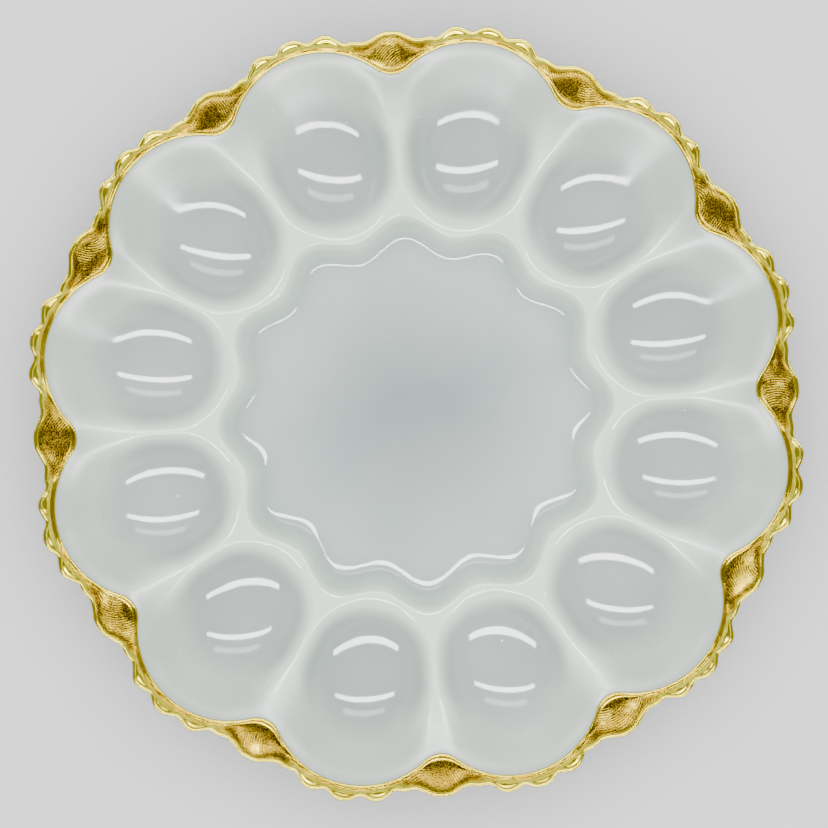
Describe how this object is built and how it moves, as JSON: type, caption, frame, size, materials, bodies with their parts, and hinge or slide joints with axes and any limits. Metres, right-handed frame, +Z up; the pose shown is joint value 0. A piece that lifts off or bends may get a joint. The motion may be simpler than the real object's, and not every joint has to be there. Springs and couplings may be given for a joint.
{
  "type": "egg tray",
  "caption": "Round pressed milk-glass tray with a ring of egg wells, a flat lobed centre well and a beaded gilt rim, for serving or keeping halved eggs.",
  "frame": {"origin": "on the tray's axis, in the plane that the foot ring stands on", "axes": "+Z up along the tray's axis; +X along a rib between two egg wells, so the wells' own axes lie at 15 degrees and every 30 degrees from there"},
  "size_m": [0.2418, 0.2418, 0.0302],
  "materials": {
    "milk_glass": "opaque cool white opal glass, fire-polished gloss",
    "fired_gold": "fired-on gold, polished on the raised edges and lightly scratched in the leaves"
  },
  "bodies": {
    "root": {"glass_tray": "milk_glass", "rim_gilding": "fired_gold"}
  },
  "joints": []
}
